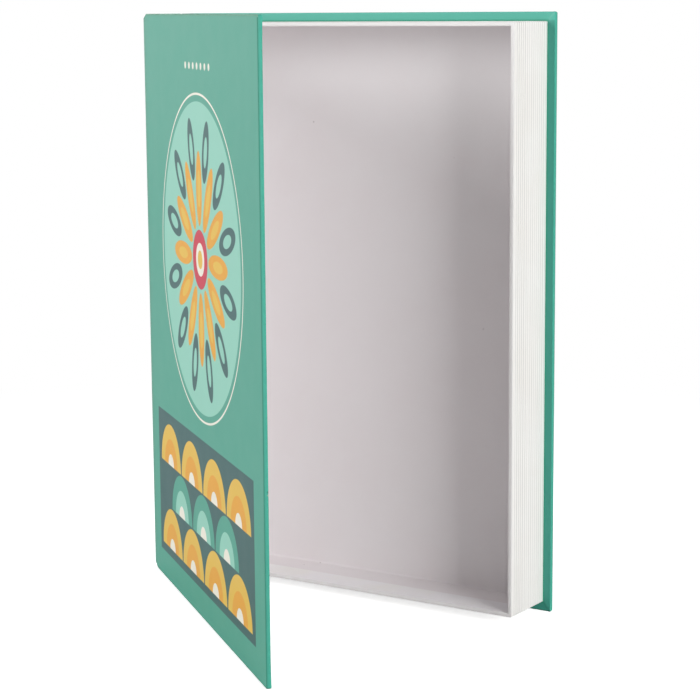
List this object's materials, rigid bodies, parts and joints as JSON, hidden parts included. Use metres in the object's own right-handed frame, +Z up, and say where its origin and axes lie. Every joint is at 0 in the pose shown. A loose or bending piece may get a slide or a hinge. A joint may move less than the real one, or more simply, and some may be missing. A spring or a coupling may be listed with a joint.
{
  "type": "book box",
  "caption": "Book-shaped storage box: a shallow tray with ribbed page edges glued in a paper-wrapped case with a hinged front cover.",
  "frame": {"origin": "middle of the footprint on the standing surface, with the cover open as at rest", "axes": "+Z up along the spine from tail to head, +X from spine to fore-edge, +Y from the tray's mouth to the back cover"},
  "size_m": [0.25, 0.1958, 0.33],
  "materials": {
    "printed_wrap": "matte coated paper",
    "greyboard": "raw greyboard",
    "page_paper": "ribbed matte paper",
    "lining_paper": "smooth matte paper",
    "infill_paper": "plain kraft paper"
  },
  "bodies": {
    "box": {"front_joint": "printed_wrap", "hinge_strip": "lining_paper", "spine_board": "greyboard", "spine_infill": "infill_paper", "spine_wrap": "printed_wrap", "back_joint": "printed_wrap", "back_board": "greyboard", "back_infill": "infill_paper", "back_wrap": "printed_wrap", "tray_base": "greyboard", "head_wall": "greyboard", "tail_wall": "greyboard", "fore_wall": "greyboard", "spine_wall": "greyboard", "page_edges": "page_paper", "wall_liner": "lining_paper", "floor_liner": "lining_paper"},
    "cover": {"front_board": "greyboard", "front_infill": "infill_paper", "front_wrap": "printed_wrap", "front_liner": "lining_paper"}
  },
  "joints": [
    {"name": "cover_hinge", "type": "hinge", "parent": "box", "child": "cover", "pos_m": [-0.12095, 0.05896, 0], "axis": [0, 0, -1], "range_deg": [-39, 141], "deforming": ["front_joint", "hinge_strip"]}
  ]
}
